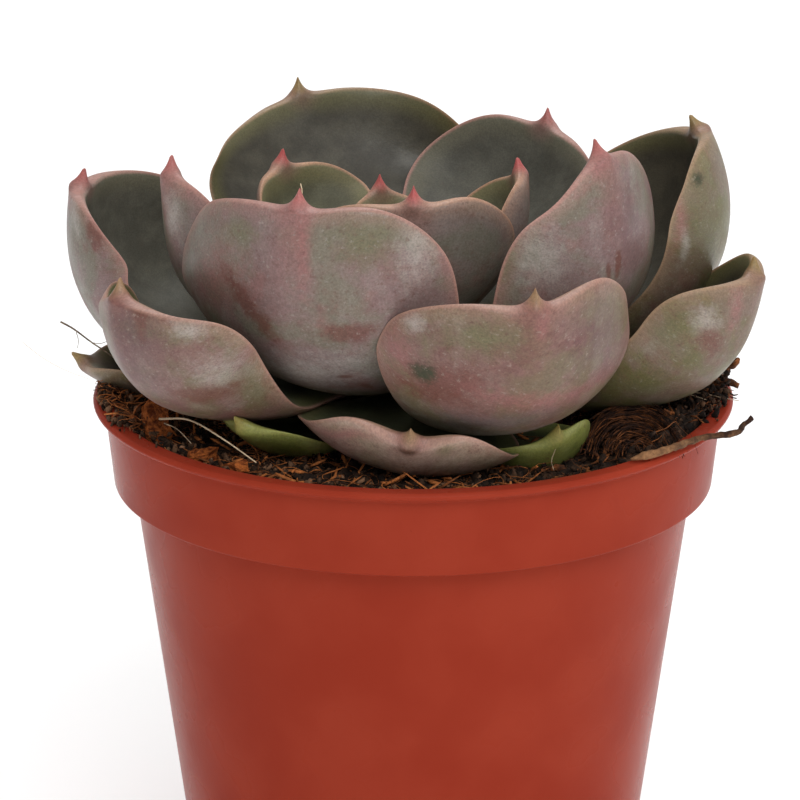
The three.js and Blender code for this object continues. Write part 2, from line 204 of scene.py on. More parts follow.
pot_rings = [
    (BASE_RADIUS - BASE_EDGE, 0.0),
    (BASE_RADIUS - 0.2 * BASE_EDGE, 0.3 * BASE_EDGE),
    (BASE_RADIUS, 1.2 * BASE_EDGE),
    (BODY_TOP_RADIUS, BAND_FOOT),
    (BAND_FOOT_RADIUS - BAND_EDGE, BAND_FOOT),
    (BAND_FOOT_RADIUS, BAND_FOOT + BAND_EDGE),
    (BAND_TOP_RADIUS, LIP_FOOT - LIP_FILLET_DROP),
    (BAND_TOP_RADIUS + LIP_FILLET_REACH, LIP_FOOT),
    (LIP_RADIUS - LIP_EDGE, LIP_FOOT),
    (LIP_RADIUS, LIP_FOOT + LIP_EDGE),
    (LIP_RADIUS, POT_HEIGHT - LIP_EDGE),
    (LIP_RADIUS - LIP_EDGE, POT_HEIGHT),
    (BAND_TOP_RADIUS - WALL + MOUTH_EDGE, POT_HEIGHT),
    (BAND_TOP_RADIUS - WALL, POT_HEIGHT - MOUTH_EDGE),
    (BAND_FOOT_RADIUS - WALL, BAND_FOOT + WALL),
    (BODY_TOP_RADIUS - WALL, BAND_FOOT + WALL - LEDGE_DROP),
    (BASE_RADIUS - WALL, WALL),
]
pot = drawn_up("nursery_pot", POT_SIDES, pot_rings)
bpy.ops.object.mode_set(mode="OBJECT")

drills = []
for hole in range(DRAIN_HOLES):
    angle = 2 * math.pi * (hole + 0.5) / DRAIN_HOLES
    bpy.ops.mesh.primitive_cylinder_add(
        vertices=DRILL_SIDES, radius=DRAIN_RADIUS * MM, depth=DRILL_LENGTH * MM,
        location=(DRAIN_CIRCLE * MM * math.cos(angle), DRAIN_CIRCLE * MM * math.sin(angle), 0),
    )
    drills.append(bpy.context.object)
only(drills[0])
for drill in drills:
    drill.select_set(True)
bpy.ops.object.join()
bpy.ops.object.transform_apply()
drill = bpy.context.object
modify(pot, "BOOLEAN", object=drill, operation="DIFFERENCE", solver="EXACT")
bpy.data.objects.remove(drill)
soften(pot, POT_BEVEL)
only(pot)
bpy.ops.object.shade_smooth_by_angle(angle=math.radians(SHARP_OVER))

plastic = Finish("red_plastic", Specular_IOR_Level=0.03)
on_pot = plastic.place()
cloudy = plastic.noise(on_pot, 0.12, 3.0)
dye = plastic.mix(plastic.rise(cloudy, 0.35, 0.7), colour(*TERRACOTTA), colour(*DARKER_TERRACOTTA))
flecks = plastic.rise(plastic.noise(on_pot, 2.2, 3.0, 0.6), 0.7, 0.8, 0.35)
plastic.join("Base Color", plastic.mix(flecks, dye, colour(*DARK_FLECK)))
plastic.join("Roughness", plastic.maths("ADD", plastic.rise(cloudy, 0.2, 0.8, 0.1), 0.24))
plastic.bump(plastic.noise(on_pot, 1.4, 3.0, 0.55), 0.04, 0.4)
settle(pot, plastic.material, "pot", slot="pot")

# -------- soil
# Dark peat and coir, pressed into the pot by hand. The body fills the pot to its drain holes. Its top is
# rough, climbs to the lip at both sides, and is strewn with crumbs of peat.
SOIL_LEVEL = 48.5
SOIL_CLEARANCE = 0.3
SOIL_SIDES = 96
SOIL_RINGS = 22
BANK_START = 14
BANK_WIDTH = 9
BANK_END = 25
LEFT_BANK = 1.2
RIGHT_BANK = 2.2
LUMP_HEIGHT = 0.3
GRAIN_HEIGHT = 0.45
SOIL_TONE = 0.12
CRUMBS = 6500
CRUMB_SIZES = (0.1, 0.34)  # the least size, and how much larger they get
CRUMBS_FROM = 5  # how far from the middle they begin, as the leaves hide the rest
SPILL = 1300
SPILL_SIZES = (0.1, 0.26)
SPILL_LEFT_SHARE = 0.4
SPILL_LEFT = (184, 13)  # the way it lies from the middle, and how widely it is spread
SPILL_RIGHT = (4, 13)
LEFT_HEAP = 0.5
RIGHT_HEAP = 1.7
DARKER_FROM = 10  # the soil is darker from here to the right
DARKER_PEAT = 0.35
# From the value below, the soil is paler to the left.
PALER_FROM = -12
PALER_PEAT = 0.2
PEAT_DARK = (22, 15, 11)
PEAT_LIGHT = (138, 102, 76)
chance = random.Random(11)


def ease(share):
    """A smooth climb from 0 to 1."""
    share = np.clip(share, 0, 1)
    return share * share * (3 - 2 * share)


def soil_height(x, y):
    """Height of the soil over the pot's foot, in millimetres."""
    side = math.hypot(x, y) / BANK_END
    rise = (LEFT_BANK if x < 0 else RIGHT_BANK) * float(ease((abs(x) - BANK_START) / BANK_WIDTH)) * side
    lumps = math.sin(1.9 * x + 0.7 * y) * math.cos(1.3 * y - 0.8 * x) + 0.6 * math.sin(2.7 * y + x)
    grain = noise.fractal(Vector((x, y, 3.0)) * 1.3, 0.7, 2.2, 4)
    return SOIL_LEVEL + rise + (LUMP_HEIGHT * lumps + GRAIN_HEIGHT * grain) * min(1, 2 * side)


def soil_radius(z):
    """How far the soil reaches at a height, inside the pot's wall."""
    if z < soil_ledge:
        climb = (z - WALL) / (soil_ledge - WALL)
        outside = BASE_RADIUS + (BODY_TOP_RADIUS - BASE_RADIUS) * climb
    else:
        climb = (z - soil_ledge) / (POT_HEIGHT - soil_ledge)
        outside = BAND_FOOT_RADIUS + (BAND_TOP_RADIUS - BAND_FOOT_RADIUS) * climb
    return outside - WALL - SOIL_CLEARANCE


soil_floor = WALL + SOIL_CLEARANCE
soil_ledge = BAND_FOOT + WALL
soil_top = soil_radius(SOIL_LEVEL)
soil_rings = [
    (soil_radius(soil_floor), soil_floor),
    (soil_radius(soil_ledge - 0.1), soil_ledge + 0.2),
    (soil_radius(soil_ledge), soil_ledge + 0.3),
    (soil_top, SOIL_LEVEL),
]
soil_rings += [(soil_top * (1 - k / SOIL_RINGS), SOIL_LEVEL) for k in range(1, SOIL_RINGS)]
soil = drawn_up("potting_soil", SOIL_SIDES, soil_rings)
bpy.ops.mesh.merge(type="CENTER")
bpy.ops.object.mode_set(mode="OBJECT")
bpy.ops.object.transform_apply()
modify(soil, "SUBSURF", levels=2, render_levels=2, subdivision_type="SIMPLE")
for point in soil.data.vertices:
    x, y, z = point.co / MM
    if z > SOIL_LEVEL - 0.05:
        point.co.z = soil_height(x, y) * MM
soil.data.shade_smooth()


def earth(name, dark, light, roughness):
    """Dry-looking organic stuff. Each crumb or strand carries its own tone, from 0 to 1."""
    finish = Finish(name, Roughness=roughness, Specular_IOR_Level=0.25)
    where = finish.place()
    tone = finish.attribute("tone", "Fac")
    patchy = finish.maths("ADD", tone, finish.rise(finish.noise(where, 1.1, 4.0, 0.65), 0.3, 0.75, 0.5))
    finish.join("Base Color", finish.mix(finish.rise(patchy, 0.15, 1.35), colour(*dark), colour(*light)))
    finish.bump(finish.noise(where, 4.0, 4.0, 0.7), 0.12)
    return finish.material


peat = earth("peat", PEAT_DARK, PEAT_LIGHT, 0.95)
settle(soil, peat, "soil", slot="soil")


def note(mesh, name, values, kind="FLOAT"):
    """Writes a value for each point into a mesh, for its material to read."""
    attribute = mesh.attributes.new(name=name, type=kind, domain="POINT")
    socket = "value" if kind == "FLOAT" else "vector"
    attribute.data.foreach_set(socket, np.asarray(values, dtype=np.float32).ravel())


note(soil.data, "tone", [SOIL_TONE] * len(soil.data.vertices))


def shown(name, mesh):
    """A new piece in the scene, with this mesh."""
    piece = bpy.data.objects.new(name, mesh)
    bpy.context.scene.collection.objects.link(piece)
    return piece


def gathered(name, parts):
    """One piece out of many small bodies. Each has its points in millimetres, its faces and its tone, which
    is one value or one for each point."""
    points, faces, shades = [], [], []
    for body, sides, tone in parts:
        faces += [[corner + len(points) for corner in side] for side in sides]
        points += [tuple(point * MM) for point in body]
        shades += list(np.broadcast_to(tone, len(body)))
    mesh = bpy.data.meshes.new(name)
    mesh.from_pydata(points, [], faces)
    mesh.shade_smooth()
    note(mesh, "tone", shades)
    return shown(name, mesh)


def anywhere(least, most):
    """A point of the soil between two radii, drawn evenly over the area."""
    radius = math.sqrt(chance.uniform(least**2, most**2))
    angle = chance.uniform(0, 2 * math.pi)
    return radius * math.cos(angle), radius * math.sin(angle)


bpy.ops.object.select_all(action="DESELECT")
bpy.ops.mesh.primitive_ico_sphere_add(subdivisions=1, radius=1)
crumb = bpy.context.object
crumb_points = np.array([point.co for point in crumb.data.vertices])
crumb_faces = [list(side.vertices) for side in crumb.data.polygons]
bpy.data.objects.remove(crumb)


def one_crumb(x, y, z, size):
    """A crumb of peat: the ball, drawn long, knobbed and turned at random."""
    shape = np.diag([size * chance.uniform(0.9, 2.0), size, size * chance.uniform(0.4, 0.8)])
    turn = np.array(Euler([chance.uniform(0, 6.3) for _ in range(3)]).to_matrix())
    knobs = np.array([chance.uniform(0.6, 1.25) for _ in crumb_points])
    body = (crumb_points * knobs[:, None]) @ shape @ turn.T
    tone = chance.random() ** 2 * (DARKER_PEAT if x > DARKER_FROM else 1.0)
    if x < PALER_FROM:
        tone += PALER_PEAT * chance.random()
    return body + (x, y, z), crumb_faces, tone


crumbs = []
for _ in range(CRUMBS):
    size = CRUMB_SIZES[0] + CRUMB_SIZES[1] * chance.random() ** 3
    x, y = anywhere(CRUMBS_FROM, soil_top - size)
    crumbs.append(one_crumb(x, y, soil_height(x, y) + 0.3 * size, size))
# At both sides it spills over the lip, and at the right it is heaped against the roots.
for _ in range(SPILL):
    size = SPILL_SIZES[0] + SPILL_SIZES[1] * chance.random() ** 2
    left = chance.random() < SPILL_LEFT_SHARE
    angle = math.radians(chance.gauss(*(SPILL_LEFT if left else SPILL_RIGHT)))
    radius = soil_top - 1.2 + (LIP_RADIUS - soil_top + 0.8) * chance.random()
    heap = chance.random() ** 1.5 * (LEFT_HEAP if left else RIGHT_HEAP)
    height = POT_HEIGHT + 0.1 + heap
    crumbs.append(one_crumb(radius * math.cos(angle), radius * math.sin(angle), height, size))
peat_crumbs = gathered("peat_crumbs", crumbs)
settle(peat_crumbs, peat, slot="soil")

# -------- fibres, roots and bark
# Coir fibres, splinters of bark and root hairs lie all over the soil, and stand up from it a little. Fine
# roots lie coiled up at the right, and a tuft of them hangs over the lip. Each strand is a thin closed tube
# that follows a wandering path.
FIBRES = 1900
FIBRES_FROM = 7
FIBRE_LENGTHS = (0.8, 5.5)
FIBRE_SIDES = 4
SPLINTERS = 600
SPLINTERS_FROM = 12
SPLINTER_SIZES = (0.08, 0.2)
SPLINTER_STRETCH = (2.0, 8.0)
LIP_FIBRES = 280
LIP_FIBRE_LENGTHS = (1.0, 3.2)
LIP_LEFT = (184, 12)
LIP_RIGHT = (2, 12)
COIL_HAIRS = 130
COIL_CENTRE = (18.4, -16.6)
COIL_HEIGHTS = (49.2, 49.9)
COIL_RADII = (1.0, 4.8)
LIP_LEFT_SHARE = 0.6
DARKER_COIR = 0.5
COIR_DARK = (34, 17, 10)
COIR_LIGHT = (206, 124, 66)


def tube(path, radius, sides, taper=0.5):
    """Points and faces of a strand round a path, in millimetres. It thins towards its end."""
    path = np.asarray(path, dtype=float)
    along = np.gradient(path, axis=0)
    along /= np.linalg.norm(along, axis=1)[:, None]
    side = np.cross(along[0], (0.31, 0.52, 0.8))
    points = []
    for index, (centre, direction) in enumerate(zip(path, along)):
        side = side - direction * (side @ direction)
        side /= np.linalg.norm(side)
        other = np.cross(direction, side)
        thin = radius * (1 - taper * index / (len(path) - 1))
        for k in range(sides):
            angle = 2 * math.pi * k / sides
            points.append(centre + thin * (math.cos(angle) * side + math.sin(angle) * other))
    faces = [list(range(sides))[::-1]]
    for ring in range(len(path) - 1):
        for k in range(sides):
            here, there = ring * sides + k, ring * sides + (k + 1) % sides
            faces.append([here, there, there + sides, here + sides])
    faces.append([len(points) - sides + k for k in range(sides)])
    return np.array(points), faces


def through(knots, steps):
    """A smooth path through given points, in millimetres."""
    knots = np.asarray(knots, dtype=float)
    padded = np.vstack([2 * knots[0] - knots[1], knots, 2 * knots[-1] - knots[-2]])
    path = []
    for before, here, there, after in zip(padded, padded[1:], padded[2:], padded[3:]):
        linear = there - before
        square = 2 * before - 5 * here + 4 * there - after
        cube = 3 * here - before - 3 * there + after
        for t in np.arange(steps) / steps:
            path.append(0.5 * (2 * here + linear * t + square * t**2 + cube * t**3))
    path.append(knots[-1])
    return np.array(path)


def wander(begin, heading, length, lift, curl, steps):
    """A path that starts at a point, heads one way, and curls and rises as it goes."""
    spot, path = np.array(begin, dtype=float), []
    turn = chance.uniform(-curl, curl)
    for step in range(steps):
        path.append(spot.copy())
        heading += turn + chance.uniform(-0.35, 0.35)
        slope = lift * (1 - 1.6 * step / steps) + chance.uniform(-0.15, 0.15)
        spot += np.array([math.cos(heading), math.sin(heading), slope]) * length / steps
    return path


def above_soil(path):
    """The same path, held inside the pot and on top of the soil."""
    for point in path:
        reach = math.hypot(point[0], point[1])
        if reach > soil_top - 0.1:
            point[:2] *= (soil_top - 0.1) / reach
        point[2] = max(point[2], soil_height(point[0], point[1]))
    return path


strands = []
for _ in range(FIBRES):
    x, y = anywhere(FIBRES_FROM, soil_top - 0.3)
    begin = (x, y, soil_height(x, y) - 0.1)
    length = chance.uniform(*FIBRE_LENGTHS)
    path = wander(begin, chance.uniform(0, 6.3), length, chance.uniform(-0.1, 0.7), 0.35, 8)
    radius = 0.025 + 0.07 * chance.random() ** 3
    tone = chance.random() ** 1.6 * (DARKER_COIR if x > DARKER_FROM else 1.0)
    strands.append((*tube(above_soil(path), radius, FIBRE_SIDES), tone))
# Splinters of bark lie among them.
for _ in range(SPLINTERS):
    x, y = anywhere(SPLINTERS_FROM, soil_top - 0.8)
    size = chance.uniform(*SPLINTER_SIZES)
    body, sides, _ = one_crumb(0, 0, 0, size)
    grain_way = chance.uniform(0, 6.3)
    along = np.array([math.cos(grain_way), math.sin(grain_way), chance.uniform(-0.2, 0.8)])
    body = body + np.outer(body @ along, along) * chance.uniform(*SPLINTER_STRETCH)
    tone = chance.uniform(0.3, 1.0) * (DARKER_COIR if x > DARKER_FROM else 1.0)
    strands.append((body + (x, y, soil_height(x, y) + 0.3), sides, tone))
# Some fibres stand out over the lip at both sides.
for _ in range(LIP_FIBRES):
    left = chance.random() < LIP_LEFT_SHARE
    angle = math.radians(chance.gauss(*(LIP_LEFT if left else LIP_RIGHT)))
    begin = (soil_top * math.cos(angle), soil_top * math.sin(angle), POT_HEIGHT + chance.uniform(0.1, 0.8))
    heading = angle + chance.gauss(0, 0.9)
    path = wander(begin, heading, chance.uniform(*LIP_FIBRE_LENGTHS), chance.uniform(0.0, 0.8), 0.3, 8)
    tone = (1.1 if left else DARKER_COIR) * chance.random()
    strands.append((*tube(path, 0.03 + 0.09 * chance.random() ** 2, FIBRE_SIDES), tone))
# The root ball shows as a coil of hair roots at the right, matted up towards the back.
for _ in range(COIL_HAIRS):
    width = chance.uniform(*COIL_RADII)
    begin = chance.uniform(0.0, 0.35)
    end = chance.uniform(0.6, 1.0)
    across = chance.gauss(COIL_CENTRE[0], 0.4)
    away = chance.gauss(COIL_CENTRE[1], 0.3)
    middle = np.array([across, away, chance.uniform(*COIL_HEIGHTS)])
    path = []
    for turn in np.linspace(math.pi * begin, math.pi * end, 6):
        up = width * math.sin(turn)
        path.append(middle + (-width * math.cos(turn), 1.5 * up, 0.45 * up + chance.gauss(0, 0.12)))
    radius = chance.uniform(0.025, 0.06)
    strands.append((*tube(through(path, 3), radius, FIBRE_SIDES, 0.3), 0.3 * chance.random() ** 2))
fibres = gathered("coir_fibres", strands)
coir = earth("coir", COIR_DARK, COIR_LIGHT, 0.8)
settle(fibres, coir, slot="root")

# Roots that were torn off when the plant was potted stand over the lip at the right, each with side roots.
TUFT_SIDES = 8
TUFT_HAIRS = 5
TUFT_HAIR_SIDES = 5
TUFT_ROOTS = [
    ((22.4, 2.2, 49.0), (24.4, 1.6, 51.2), (26.0, 0.9, 51.5), (27.2, 0.2, 51.7)),
    ((23.0, 1.0, 49.4), (24.8, 0.6, 51.4), (26.2, 0.2, 52.5), (26.7, -0.2, 53.2)),
    ((25.6, 0.3, 51.5), (26.7, 0.0, 52.0), (27.6, -0.3, 52.4), (27.8, -0.5, 52.9)),
    ((23.6, -0.6, 49.6), (25.4, -1.0, 50.8), (26.8, -1.2, 51.1), (27.9, -1.5, 50.8)),
    ((22.6, 4.6, 49.2), (24.4, 3.6, 50.9), (25.6, 2.4, 51.6), (26.2, 1.4, 52.2)),
    ((23.2, -3.0, 49.4), (24.8, -3.2, 50.6), (26.0, -3.4, 50.9), (27.0, -3.8, 50.9)),
]


def knotty_root(line, sides, radius, knot, pattern, start=1.0):
    """A root along a path, in millimetres: as thick as radius, give or take its knots. It starts at this
    share of its thickness."""
    body, faces = tube(line, 1.0, sides, 0.45)
    centres = np.repeat(line, sides, axis=0)
    thick = np.array([radius + knot * noise.noise(Vector(point) * pattern) for point in body])
    grown = np.minimum(1, start + 0.1 * (np.arange(len(body)) // sides))
    return centres + (body - centres) * (thick * grown)[:, None], faces


tuft = []
for knots in TUFT_ROOTS:
    line = through(knots, 6)
    tuft.append((*knotty_root(line, TUFT_SIDES, 0.5, 0.3, 1.7), 0.3 * chance.random()))
    for _ in range(TUFT_HAIRS):
        begin = line[chance.randint(6, len(line) - 1)]
        heading = chance.gauss(0, 1.4)
        length = chance.uniform(0.4, 1.3)
        path = wander(begin, heading, length, chance.uniform(-0.8, 1.0), 0.5, 7)
        tuft.append((*tube(path, chance.uniform(0.04, 0.14), TUFT_HAIR_SIDES), 0.5 * chance.random()))
root_tuft = gathered("root_tuft", tuft)
settle(root_tuft, coir, slot="root")

# A knotty dry root lies along the lip at the right, and its thin end sticks out over the edge.
ROOT_SIDES = 12
ROOT_DARK = (50, 28, 18)
ROOT_LIGHT = (170, 124, 84)
ROOT_PATH = [
    (17.8, -19.6, 50.3), (19.2, -19.2, 50.6), (20.9, -18.2, 50.7), (22.6, -16.4, 50.7),
    (24.1, -14.8, 50.65), (26.8, -13.9, 50.7), (27.5, -12.3, 50.8), (28.3, -11.6, 51.3),
]
body, sides = knotty_root(through(ROOT_PATH, 8), ROOT_SIDES, 0.36, 0.18, 1.9, start=0.3)
darker_outwards = np.interp(body[:, 0], (20, 27), (0.6, 0.05))
dry_root = gathered("dry_root_bark", [(body, sides, darker_outwards)])
root_bark = earth("root_bark", ROOT_DARK, ROOT_LIGHT, 0.85)
settle(dry_root, root_bark, "dry_root", slot="root")

# Loose hairs: a branched root hair and a pale one at the left, two straws and three short hairs on the soil,
# and a white thread of spider's silk on the front leaf's point. Each has a radius, a tone and its path.
HAIR_SIDES = 6
HAIR_DARK = (58, 34, 22)
HAIR_LIGHT = (220, 196, 164)
HAIRS = [
    (0.09, 0.3, [(-30.4, 2.6, 55.3), (-29.2, 2.0, 54.8), (-27.6, 1.0, 53.9), (-25.8, 0.4, 52.8),
                 (-24.4, 0.0, 51.2)]),
    (0.035, 0.4, [(-29.0, 1.6, 54.7), (-28.8, 1.2, 54.0), (-28.9, 1.0, 53.4)]),
    (0.035, 0.4, [(-27.6, 1.0, 53.9), (-26.9, 0.8, 53.9), (-26.2, 0.6, 54.2)]),
    (0.02, 1.0, [(-33.8, 3.4, 53.2), (-32.0, 2.4, 52.1), (-30.0, 1.4, 51.3), (-27.8, 0.6, 50.7)]),
    (0.1, 0.9, [(-21.2, -12.6, 51.5), (-18.6, -14.4, 52.0), (-15.8, -17.4, 51.4), (-12.9, -20.6, 50.4)]),
    (0.05, 0.6, [(-20.8, -12.8, 51.2), (-19.6, -14.2, 51.1), (-18.4, -15.8, 50.4)]),
    (0.04, 0.5, [(11.4, -22.6, 50.4), (11.2, -22.8, 51.3), (11.5, -22.9, 52.3)]),
    (0.05, 0.6, [(22.6, -4.0, 50.9), (24.4, -5.0, 51.3), (26.0, -5.8, 51.2), (27.6, -6.2, 51.0)]),
    (0.05, 0.6, [(21.6, -6.2, 50.4), (21.8, -6.6, 51.4), (22.8, -6.6, 51.8), (24.8, -6.8, 51.3)]),
    (0.07, 1.3, [(-9.1, -20.8, 72.8), (-9.0, -20.8, 73.5), (-9.1, -20.8, 74.1)]),
]
hairs = [(*tube(through(knots, 6), radius, HAIR_SIDES, 0.4), tone) for radius, tone, knots in HAIRS]
root_hairs = gathered("root_hairs", hairs)
settle(root_hairs, earth("root_hair", HAIR_DARK, HAIR_LIGHT, 0.8), slot="root")

# Flakes of pine bark, split along the grain and broken off at the ends.
BARK_FLAKES = 5
BARK_CUTS = 5
BARK_ROUGHNESS = 0.3
BARK_DARK = (92, 40, 16)
BARK_LIGHT = (186, 104, 48)
bark = Finish("pine_bark", Roughness=0.85, Specular_IOR_Level=0.2)
in_bark = bark.place()
layers = bark.noise(bark.scaled(in_bark, (1.0, 0.35, 2.6)), 1.6, 4.0, 0.7)
bark.join("Base Color", bark.mix(bark.rise(layers, 0.35, 0.65), colour(*BARK_DARK), colour(*BARK_LIGHT)))
bark.bump(layers, 0.35)
for number in range(1, BARK_FLAKES + 1):
    node = f"bark_chip_{number}"
    flake = shown(f"bark_flake_{number}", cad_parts[node].data.copy())
    only(flake)
    bpy.ops.object.mode_set(mode="EDIT")
    bpy.ops.mesh.select_all(action="SELECT")
    bpy.ops.mesh.remove_doubles(threshold=0.01 * MM)
    bpy.ops.mesh.subdivide(number_cuts=BARK_CUTS)
    bpy.ops.object.mode_set(mode="OBJECT")
    for point in flake.data.vertices:
        where = point.co / MM
        shove = Vector([noise.noise(where * 1.4 + Vector((7 * axis, number, 0))) for axis in range(3)])
        point.co += BARK_ROUGHNESS * MM * shove
    settle(flake, bark.material, node, slot="bark")

# -------- stem
# The short stem that every leaf grows from: soft wood with a corky skin, ringed with the scars of fallen
# leaves. It stands rooted in the soil and is mostly hidden. One ring of points is drawn up through the radii
# and heights of its outside, and closed at the top.
STEM_SIDES = 40
STEM_BEVEL = 0.4
STEM_DARK = (92, 86, 52)
STEM_LIGHT = (140, 128, 92)
stem_rings = [(3.2, 43), (4.6, 45), (4.3, 50), (4.1, 52), (3.6, 54), (2.9, 56.5), (1.6, 57.4)]
stem = drawn_up("woody_stem", STEM_SIDES, stem_rings)
bpy.ops.mesh.edge_face_add()
bpy.ops.object.mode_set(mode="OBJECT")
bpy.ops.object.transform_apply()
soften(stem, STEM_BEVEL)
stem.data.shade_smooth()
stem_bark = Finish("stem_bark", Roughness=0.8)
up_stem = stem_bark.place()
scars = stem_bark.noise(stem_bark.scaled(up_stem, (0.4, 0.4, 2.0)), 1.0, 3.0)
stem_bark.join("Base Color", stem_bark.mix(scars, colour(*STEM_DARK), colour(*STEM_LIGHT)))
stem_bark.bump(scars, 0.3)
settle(stem, stem_bark.material, "stem", slot="stem")

# -------- leaves
# Fleshy blades, cupped like a spoon and drawn out to a sharp point, in a spiral round the stem. Their backs
# are mauve and olive under a pale wax bloom, their hollow faces are dark grey-green with painted shade that
# deepens towards the root, and the margins blush.
# Every leaf starts as the same ball, whose rings are laid along its own midrib.
AROUND = 40
LOWER_RINGS = 20
UPPER_RINGS = 18
POINT_RINGS = 9
MIDRIB_STEPS = 300
FIRST_LEAF = 49.6
INTERNODE = 0.25  # how much higher on the stem each next leaf stands
ROOT_REACH = 3.1
ROOT_DRAW = 0.05  # how much nearer the stem's axis it starts
ROOT_HALF_WIDTH = 1.6
ROOT_THICKNESS = 1.4
ROOT_PULL = 0.6  # the share of a midrib that its slope at the root shapes
TIP_PULL = 0.4
THICKNESS = 3.0
FACE_SHARE = 0.8  # what the face has of half that thickness
BACK_SHARE = 1.2
KEEL = 0.4
KEEL_WIDTH = 1.0
SWELL = 0.3
NOTCH = 0.5
NOTCH_WIDTH = 2.6
FLARE = 2.2  # half-width at which the rounded end starts to be drawn out to the point
POINT_FLARE = 0.7
POINT_HALF_WIDTH = 0.05
EDGE = 0.8  # how sharp the margin is, where 0.5 is round
LOWEST_LEAVES = 5

# What a leaf has unless its line in LEAVES says otherwise.
TYPICAL = dict(
    cup=50,  # how far each half of the blade folds up
    flat=0.35,  # share of that fold that the blade has from its root on
    folds=(0, 0.6),  # where along the midrib the rest of the fold begins, and where it is complete
    roll=0,  # turn about the midrib
    lean=0,  # sideways turn of the end
    sway=0,  # sideways bow of the middle
    shoulder=0.68,  # where along the midrib the blade is widest
    taper=2,  # how late it widens from its root
    square=2.7,  # how square the rounded end is, where 2 is an ellipse
    lobes=(0, 0),  # how much longer the end is on the clockwise and on the other side of the point
    point=2,  # length of the sharp point
    look="olive",
)

# Each leaf in the order in which it grew, lowest first. aim: the way it points, from +X towards +Y. tip: its
# distance from the stem's axis and its height over the pot's lip. slope: of the midrib, at the root and at
# the tip. width: across the blade, over the curve.
LEAVES = [
    dict(aim=230, tip=(23, 3.4), slope=(-3, 40), width=11, cup=25, look="fresh"),
    dict(aim=95, tip=(24, 3), slope=(-6, 70), width=14, cup=40, look="fresh"),
    dict(aim=303, tip=(22, 2.9), slope=(-5, 60), width=11, cup=45, lean=-15, lobes=(0, 0.6),
         look="fresh"),
    dict(aim=177, tip=(29.5, 2.9), slope=(-1, 30), width=12, cup=60, square=2.5),
    dict(aim=38, tip=(27, 5), slope=(0, 70), width=15, cup=45, look="fresh"),
    dict(aim=269.3, tip=(24.5, 4.5), slope=(4, 50), width=18.9, cup=24, roll=-10, lean=4, sway=-0.1,
         shoulder=0.56, taper=1.3, square=3.2, lobes=(1.4, 1.6), flat=0.57, folds=(0.5, 0.75),
         look="old"),
    dict(aim=128, tip=(24, 14.5), slope=(6, 88), width=20, cup=45),
    dict(aim=343.1, tip=(29.6, 14.5), slope=(0, 84), width=20.6, cup=81, roll=-5, lean=5, square=3.2,
         shoulder=0.72, taper=1.3, lobes=(-0.3, 0.9), flat=0.85, folds=(0.55, 1)),
    dict(aim=217.3, tip=(30.1, 15.5), slope=(6, 86), width=23.2, cup=67, roll=-2, lean=-2, sway=-0.7,
         square=3.1, shoulder=0.75, taper=1.6, lobes=(-1.6, -0.8), flat=0.15, folds=(0.35, 0.7),
         look="old"),
    dict(aim=80, tip=(28.5, 13), slope=(3, 95), width=22),
    dict(aim=290.1, tip=(28, 17.1), slope=(-3, 79), width=25.3, cup=64, roll=-4, lean=-2, square=2.8,
         shoulder=0.72, taper=2.2, lobes=(0.2, 1.3), flat=0.34, folds=(0.24, 0.93), look="old"),
    dict(aim=163.8, tip=(29.5, 17.5), slope=(-10, 97), width=28.9, cup=73, roll=3, lean=2, sway=1.1,
         shoulder=0.74, taper=1.2, square=3.2, lobes=(-0.1, 0.8), flat=0.81, folds=(0.6, 1),
         look="mauve"),
    dict(aim=19, tip=(25.3, 22.3), slope=(-4, 111), width=28.6, cup=73, roll=-2, lean=8, sway=-0.7,
         shoulder=0.75, taper=1.2, square=3.2, lobes=(0.6, 0), flat=1),
    dict(aim=246.3, tip=(22.7, 23.8), slope=(5, 93), width=27, cup=52, lean=2, sway=-0.7, square=3,
         taper=1.2, lobes=(-0.2, 0.8), flat=0.68, folds=(0.6, 1), look="mauve"),
    dict(aim=115.3, tip=(23.9, 22.3), slope=(26, 83), width=29.1, cup=63, roll=3, lean=7, sway=-0.4,
         square=2.5, shoulder=0.67, taper=1.4, lobes=(-0.3, -0.4), flat=0.3, folds=(0.3, 1)),
    dict(aim=321.2, tip=(19, 25.5), slope=(7, 103), width=22.9, cup=33, lean=-3, sway=0.2, square=2.4,
         shoulder=0.58, taper=1.3, lobes=(-1.6, 0), flat=0.2, folds=(0.34, 0.8), look="mauve"),
    dict(aim=197.2, tip=(21.1, 22.6), slope=(11, 86), width=18.6, cup=44, roll=8, lean=-3, sway=0.3,
         square=2.2, shoulder=0.54, taper=1.8, lobes=(-1.2, 0), flat=0.15, folds=(0.5, 1),
         look="mauve"),
    dict(aim=51.7, tip=(19, 21.2), slope=(32, 83), width=22.7, cup=48, roll=-4, lean=-3, sway=0.2,
         square=2.5, shoulder=0.66, taper=1.3, lobes=(-0.5, 0.4), flat=1, look="mauve"),
    dict(aim=270, tip=(9.3, 20.8), slope=(50, 92), width=19.5, lobes=(0, 0.6), look="young"),
    dict(aim=143, tip=(14, 19.2), slope=(46, 92), width=16, look="young"),
    dict(aim=14, tip=(9.1, 20.1), slope=(60, 92), width=12.5, cup=70, lean=10, square=2.4,
         shoulder=0.64, look="young"),
    dict(aim=235, tip=(4.3, 13), slope=(78, 95), width=6.5, square=2.4, look="young"),
    dict(aim=112, tip=(7.6, 17.3), slope=(72, 90), width=8.5, square=2.4, look="young"),
]
